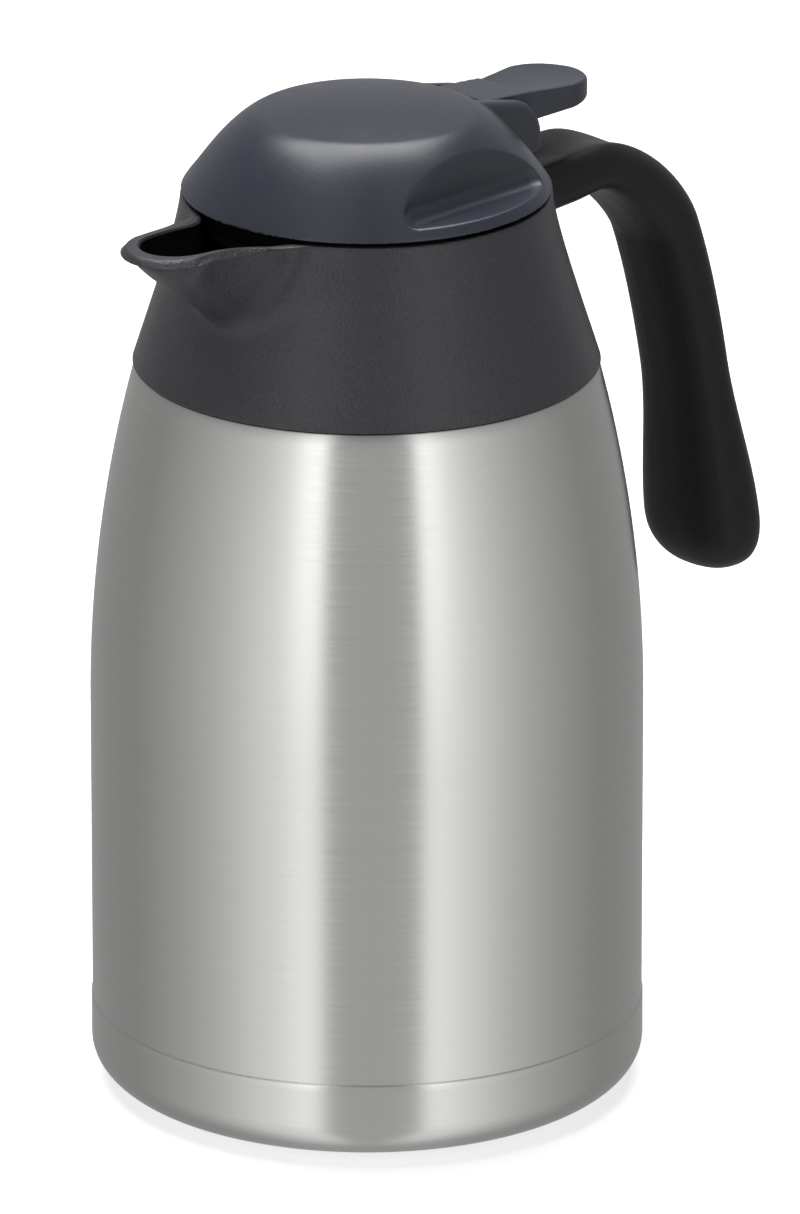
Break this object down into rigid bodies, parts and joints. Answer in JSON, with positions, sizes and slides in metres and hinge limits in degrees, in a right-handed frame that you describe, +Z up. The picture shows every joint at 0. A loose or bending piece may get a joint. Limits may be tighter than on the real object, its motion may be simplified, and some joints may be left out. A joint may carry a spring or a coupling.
{
  "type": "thermal carafe",
  "caption": "Vacuum-insulated steel carafe with a moulded spout and open-ended handle, and a stopper lid whose thumb lever lifts a sprung pouring valve.",
  "frame": {"origin": "centre of the foot, on the surface the carafe stands on", "axes": "+Z up along the body's axis, the spout points to -X and the handle to +X"},
  "size_m": [0.2104, 0.133, 0.2446],
  "materials": {
    "steel": "brushed round the axis",
    "liner_steel": "satin",
    "bare_steel": "bright drawn",
    "foil": "bright foil",
    "getter": "sintered",
    "collar_plastic": "fine moulded texture",
    "handle_plastic": "satin",
    "lid_plastic": "fine moulded texture",
    "inner_plastic": "satin",
    "white_plastic": "gloss",
    "silicone": "translucent matt"
  },
  "bodies": {
    "vessel": {"outer_shell": "steel", "base_cup": "steel", "base_plate": "steel", "vacuum_seal": "bare_steel", "inner_vessel": "liner_steel", "heat_shield": "foil", "getter": "getter", "collar": "collar_plastic", "throat_ring": "collar_plastic", "mouth_gasket": "silicone", "handle_shell": "handle_plastic", "handle_cover": "handle_plastic"},
    "lid_seal": {"stopper_seal": "silicone"},
    "lid": {"lid_dome": "lid_plastic", "lid_base": "inner_plastic", "lid_screws": "bare_steel", "stopper_body": "inner_plastic", "stem_seal": "silicone", "spring_washer": "bare_steel", "valve_spring": "bare_steel", "lever_pin": "bare_steel"},
    "lever": {"lever": "lid_plastic"},
    "valve": {"valve_stem": "bare_steel", "stem_cap": "white_plastic", "valve_disc": "white_plastic", "valve_gasket": "silicone"}
  },
  "joints": [
    {"name": "lid_lift", "type": "slide", "parent": "vessel", "child": "lid_seal", "axis": [0, 0, 1], "range_m": [0, 0.08]},
    {"name": "lid_turn", "type": "hinge", "parent": "lid_seal", "child": "lid", "pos_m": [0, 0, 0], "axis": [0, 0, 1], "range_deg": [0, 75]},
    {"name": "lever_press", "type": "hinge", "parent": "lid", "child": "lever", "pos_m": [0.039, 0, 0.2292], "axis": [0, 1, 0], "range_deg": [0, 12], "stiffness_Nm_per_rad": 0.6, "springref_deg": -14.67},
    {"name": "valve_lift", "type": "slide", "parent": "lid", "child": "valve", "axis": [0, 0, 1], "range_m": [0, 0.0084], "deforming": ["valve_spring"]}
  ],
  "couplings": [
    {"joint": "valve_lift", "follows": "lever_press", "m_per_rad": 0.039}
  ]
}
